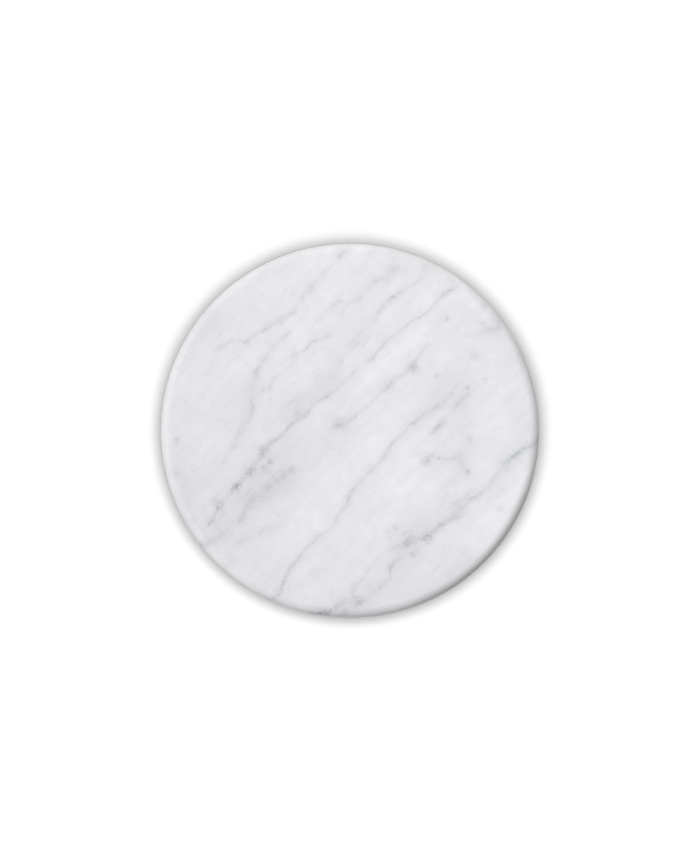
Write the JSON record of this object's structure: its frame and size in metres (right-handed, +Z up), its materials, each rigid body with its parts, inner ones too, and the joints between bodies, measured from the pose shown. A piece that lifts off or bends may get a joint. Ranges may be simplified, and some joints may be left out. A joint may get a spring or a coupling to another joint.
{
  "type": "lazy susan turntable",
  "caption": "Round white marble lazy susan with a rounded rim, turning without limit on a caged ball bearing between two aluminium rings that stand on rubber feet.",
  "frame": {"origin": "middle of the footprint on the surface the feet stand on, on the axis that the top turns about", "axes": "+Z up along the turning axis; +X towards the ball loading plug in the outer ring's wall; seen from above with +Y up the picture, the veins run from lower left to upper right as in the picture"},
  "size_m": [0.305, 0.305, 0.0379],
  "materials": {
    "marble": "white marble with soft grey diagonal veins, honed to a satin polish",
    "aluminium": "turned and clear anodised, satin",
    "rubber": "matte black",
    "zinc_steel": "bright zinc plated",
    "ball_steel": "polished bearing steel",
    "nylon": "natural moulded nylon",
    "brass": "machined"
  },
  "bodies": {
    "base": {"outer_ring": "aluminium", "ball_loading_plug": "zinc_steel", "rubber_foot_1": "rubber", "rubber_foot_2": "rubber", "rubber_foot_3": "rubber", "rubber_foot_4": "rubber", "rubber_foot_5": "rubber", "rubber_foot_6": "rubber", "foot_screw_1": "zinc_steel", "foot_screw_2": "zinc_steel", "foot_screw_3": "zinc_steel", "foot_screw_4": "zinc_steel", "foot_screw_5": "zinc_steel", "foot_screw_6": "zinc_steel"},
    "turntable": {"marble_top": "marble", "bedding_gasket": "rubber", "inner_ring": "aluminium", "top_insert_1": "brass", "top_insert_2": "brass", "top_insert_3": "brass", "top_insert_4": "brass", "top_screw_1": "zinc_steel", "top_screw_2": "zinc_steel", "top_screw_3": "zinc_steel", "top_screw_4": "zinc_steel"},
    "ball_set": {"ball_cage": "nylon"},
    "ball_01": {"ball_01": "ball_steel"},
    "ball_02": {"ball_02": "ball_steel"},
    "ball_03": {"ball_03": "ball_steel"},
    "ball_04": {"ball_04": "ball_steel"},
    "ball_05": {"ball_05": "ball_steel"},
    "ball_06": {"ball_06": "ball_steel"},
    "ball_07": {"ball_07": "ball_steel"},
    "ball_08": {"ball_08": "ball_steel"},
    "ball_09": {"ball_09": "ball_steel"},
    "ball_10": {"ball_10": "ball_steel"},
    "ball_11": {"ball_11": "ball_steel"},
    "ball_12": {"ball_12": "ball_steel"},
    "ball_13": {"ball_13": "ball_steel"},
    "ball_14": {"ball_14": "ball_steel"},
    "ball_15": {"ball_15": "ball_steel"},
    "ball_16": {"ball_16": "ball_steel"},
    "ball_17": {"ball_17": "ball_steel"},
    "ball_18": {"ball_18": "ball_steel"},
    "ball_19": {"ball_19": "ball_steel"},
    "ball_20": {"ball_20": "ball_steel"},
    "ball_21": {"ball_21": "ball_steel"},
    "ball_22": {"ball_22": "ball_steel"},
    "ball_23": {"ball_23": "ball_steel"},
    "ball_24": {"ball_24": "ball_steel"}
  },
  "joints": [
    {"name": "top_spin", "type": "hinge", "parent": "base", "child": "turntable", "pos_m": [0, 0, 0], "axis": [0, 0, 1], "continuous": true},
    {"name": "cage_spin", "type": "hinge", "parent": "base", "child": "ball_set", "pos_m": [0, 0, 0], "axis": [0, 0, 1], "continuous": true},
    {"name": "ball_01_roll", "type": "hinge", "parent": "ball_set", "child": "ball_01", "pos_m": [0.083, 0, 0.01305], "axis": [0.7071, 0, 0.7071], "continuous": true},
    {"name": "ball_02_roll", "type": "hinge", "parent": "ball_set", "child": "ball_02", "pos_m": [0.08017, 0.02148, 0.01305], "axis": [0.683, 0.183, 0.7071], "continuous": true},
    {"name": "ball_03_roll", "type": "hinge", "parent": "ball_set", "child": "ball_03", "pos_m": [0.07188, 0.0415, 0.01305], "axis": [0.6124, 0.3536, 0.7071], "continuous": true},
    {"name": "ball_04_roll", "type": "hinge", "parent": "ball_set", "child": "ball_04", "pos_m": [0.05869, 0.05869, 0.01305], "axis": [0.5, 0.5, 0.7071], "continuous": true},
    {"name": "ball_05_roll", "type": "hinge", "parent": "ball_set", "child": "ball_05", "pos_m": [0.0415, 0.07188, 0.01305], "axis": [0.3536, 0.6124, 0.7071], "continuous": true},
    {"name": "ball_06_roll", "type": "hinge", "parent": "ball_set", "child": "ball_06", "pos_m": [0.02148, 0.08017, 0.01305], "axis": [0.183, 0.683, 0.7071], "continuous": true},
    {"name": "ball_07_roll", "type": "hinge", "parent": "ball_set", "child": "ball_07", "pos_m": [0, 0.083, 0.01305], "axis": [0, 0.7071, 0.7071], "continuous": true},
    {"name": "ball_08_roll", "type": "hinge", "parent": "ball_set", "child": "ball_08", "pos_m": [-0.02148, 0.08017, 0.01305], "axis": [-0.183, 0.683, 0.7071], "continuous": true},
    {"name": "ball_09_roll", "type": "hinge", "parent": "ball_set", "child": "ball_09", "pos_m": [-0.0415, 0.07188, 0.01305], "axis": [-0.3536, 0.6124, 0.7071], "continuous": true},
    {"name": "ball_10_roll", "type": "hinge", "parent": "ball_set", "child": "ball_10", "pos_m": [-0.05869, 0.05869, 0.01305], "axis": [-0.5, 0.5, 0.7071], "continuous": true},
    {"name": "ball_11_roll", "type": "hinge", "parent": "ball_set", "child": "ball_11", "pos_m": [-0.07188, 0.0415, 0.01305], "axis": [-0.6124, 0.3536, 0.7071], "continuous": true},
    {"name": "ball_12_roll", "type": "hinge", "parent": "ball_set", "child": "ball_12", "pos_m": [-0.08017, 0.02148, 0.01305], "axis": [-0.683, 0.183, 0.7071], "continuous": true},
    {"name": "ball_13_roll", "type": "hinge", "parent": "ball_set", "child": "ball_13", "pos_m": [-0.083, 0, 0.01305], "axis": [-0.7071, 0, 0.7071], "continuous": true},
    {"name": "ball_14_roll", "type": "hinge", "parent": "ball_set", "child": "ball_14", "pos_m": [-0.08017, -0.02148, 0.01305], "axis": [-0.683, -0.183, 0.7071], "continuous": true},
    {"name": "ball_15_roll", "type": "hinge", "parent": "ball_set", "child": "ball_15", "pos_m": [-0.07188, -0.0415, 0.01305], "axis": [-0.6124, -0.3536, 0.7071], "continuous": true},
    {"name": "ball_16_roll", "type": "hinge", "parent": "ball_set", "child": "ball_16", "pos_m": [-0.05869, -0.05869, 0.01305], "axis": [-0.5, -0.5, 0.7071], "continuous": true},
    {"name": "ball_17_roll", "type": "hinge", "parent": "ball_set", "child": "ball_17", "pos_m": [-0.0415, -0.07188, 0.01305], "axis": [-0.3536, -0.6124, 0.7071], "continuous": true},
    {"name": "ball_18_roll", "type": "hinge", "parent": "ball_set", "child": "ball_18", "pos_m": [-0.02148, -0.08017, 0.01305], "axis": [-0.183, -0.683, 0.7071], "continuous": true},
    {"name": "ball_19_roll", "type": "hinge", "parent": "ball_set", "child": "ball_19", "pos_m": [0, -0.083, 0.01305], "axis": [0, -0.7071, 0.7071], "continuous": true},
    {"name": "ball_20_roll", "type": "hinge", "parent": "ball_set", "child": "ball_20", "pos_m": [0.02148, -0.08017, 0.01305], "axis": [0.183, -0.683, 0.7071], "continuous": true},
    {"name": "ball_21_roll", "type": "hinge", "parent": "ball_set", "child": "ball_21", "pos_m": [0.0415, -0.07188, 0.01305], "axis": [0.3536, -0.6124, 0.7071], "continuous": true},
    {"name": "ball_22_roll", "type": "hinge", "parent": "ball_set", "child": "ball_22", "pos_m": [0.05869, -0.05869, 0.01305], "axis": [0.5, -0.5, 0.7071], "continuous": true},
    {"name": "ball_23_roll", "type": "hinge", "parent": "ball_set", "child": "ball_23", "pos_m": [0.07188, -0.0415, 0.01305], "axis": [0.6124, -0.3536, 0.7071], "continuous": true},
    {"name": "ball_24_roll", "type": "hinge", "parent": "ball_set", "child": "ball_24", "pos_m": [0.08017, -0.02148, 0.01305], "axis": [0.683, -0.183, 0.7071], "continuous": true}
  ],
  "couplings": [
    {"joint": "cage_spin", "follows": "top_spin", "ratio": 0.48722},
    {"joint": "ball_01_roll", "follows": "top_spin", "ratio": -13.824},
    {"joint": "ball_02_roll", "follows": "top_spin", "ratio": -13.824},
    {"joint": "ball_03_roll", "follows": "top_spin", "ratio": -13.824},
    {"joint": "ball_04_roll", "follows": "top_spin", "ratio": -13.824},
    {"joint": "ball_05_roll", "follows": "top_spin", "ratio": -13.824},
    {"joint": "ball_06_roll", "follows": "top_spin", "ratio": -13.824},
    {"joint": "ball_07_roll", "follows": "top_spin", "ratio": -13.824},
    {"joint": "ball_08_roll", "follows": "top_spin", "ratio": -13.824},
    {"joint": "ball_09_roll", "follows": "top_spin", "ratio": -13.824},
    {"joint": "ball_10_roll", "follows": "top_spin", "ratio": -13.824},
    {"joint": "ball_11_roll", "follows": "top_spin", "ratio": -13.824},
    {"joint": "ball_12_roll", "follows": "top_spin", "ratio": -13.824},
    {"joint": "ball_13_roll", "follows": "top_spin", "ratio": -13.824},
    {"joint": "ball_14_roll", "follows": "top_spin", "ratio": -13.824},
    {"joint": "ball_15_roll", "follows": "top_spin", "ratio": -13.824},
    {"joint": "ball_16_roll", "follows": "top_spin", "ratio": -13.824},
    {"joint": "ball_17_roll", "follows": "top_spin", "ratio": -13.824},
    {"joint": "ball_18_roll", "follows": "top_spin", "ratio": -13.824},
    {"joint": "ball_19_roll", "follows": "top_spin", "ratio": -13.824},
    {"joint": "ball_20_roll", "follows": "top_spin", "ratio": -13.824},
    {"joint": "ball_21_roll", "follows": "top_spin", "ratio": -13.824},
    {"joint": "ball_22_roll", "follows": "top_spin", "ratio": -13.824},
    {"joint": "ball_23_roll", "follows": "top_spin", "ratio": -13.824},
    {"joint": "ball_24_roll", "follows": "top_spin", "ratio": -13.824}
  ]
}
